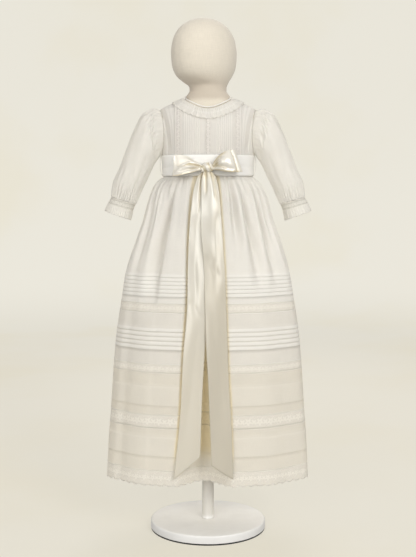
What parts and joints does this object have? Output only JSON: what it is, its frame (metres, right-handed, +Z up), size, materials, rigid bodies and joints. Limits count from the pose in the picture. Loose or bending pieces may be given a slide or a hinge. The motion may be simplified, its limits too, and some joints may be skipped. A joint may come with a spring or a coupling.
{
  "type": "christening gown on dress form stand",
  "caption": "Long infant christening gown with pintucks, lace bands and a satin sash bow, on a smooth limbless form and round stand.",
  "frame": {"origin": "on the floor at the centre of the foot pad's underside, under the pole", "axes": "+Z up, -Y is the front of the gown, +X is the viewer's right"},
  "size_m": [0.4332, 0.245, 1.071],
  "materials": {
    "voile": "sheer white cotton voile",
    "lace": "fine cotton lace",
    "satin": "ivory satin ribbon",
    "linen": "matt natural linen",
    "paint": "satin white paint",
    "rubber": "matt black rubber",
    "pearl": "pearl white, glossy"
  },
  "bodies": {
    "root": {"foot_pad": "rubber", "stand_base": "paint", "stand_pole": "paint", "dress_form": "linen", "bodice_front": "voile", "bodice_back_left": "voile", "bodice_back_right": "voile", "button_1": "pearl", "button_2": "pearl", "button_3": "pearl", "neck_binding": "voile", "collar_frill": "lace", "sleeve_left": "voile", "sleeve_right": "voile", "cuff_left": "lace", "cuff_right": "lace", "skirt_upper": "voile", "skirt_lace_1": "lace", "skirt_middle": "voile", "skirt_lace_2": "lace", "skirt_lower_1": "voile", "skirt_lace_3": "lace", "skirt_lower_2": "voile", "hem_lace": "lace", "sash_band": "satin", "bow_knot": "satin", "bow_loop_left": "satin", "bow_loop_right": "satin", "tail_left": "satin", "tail_right": "satin"}
  },
  "joints": []
}
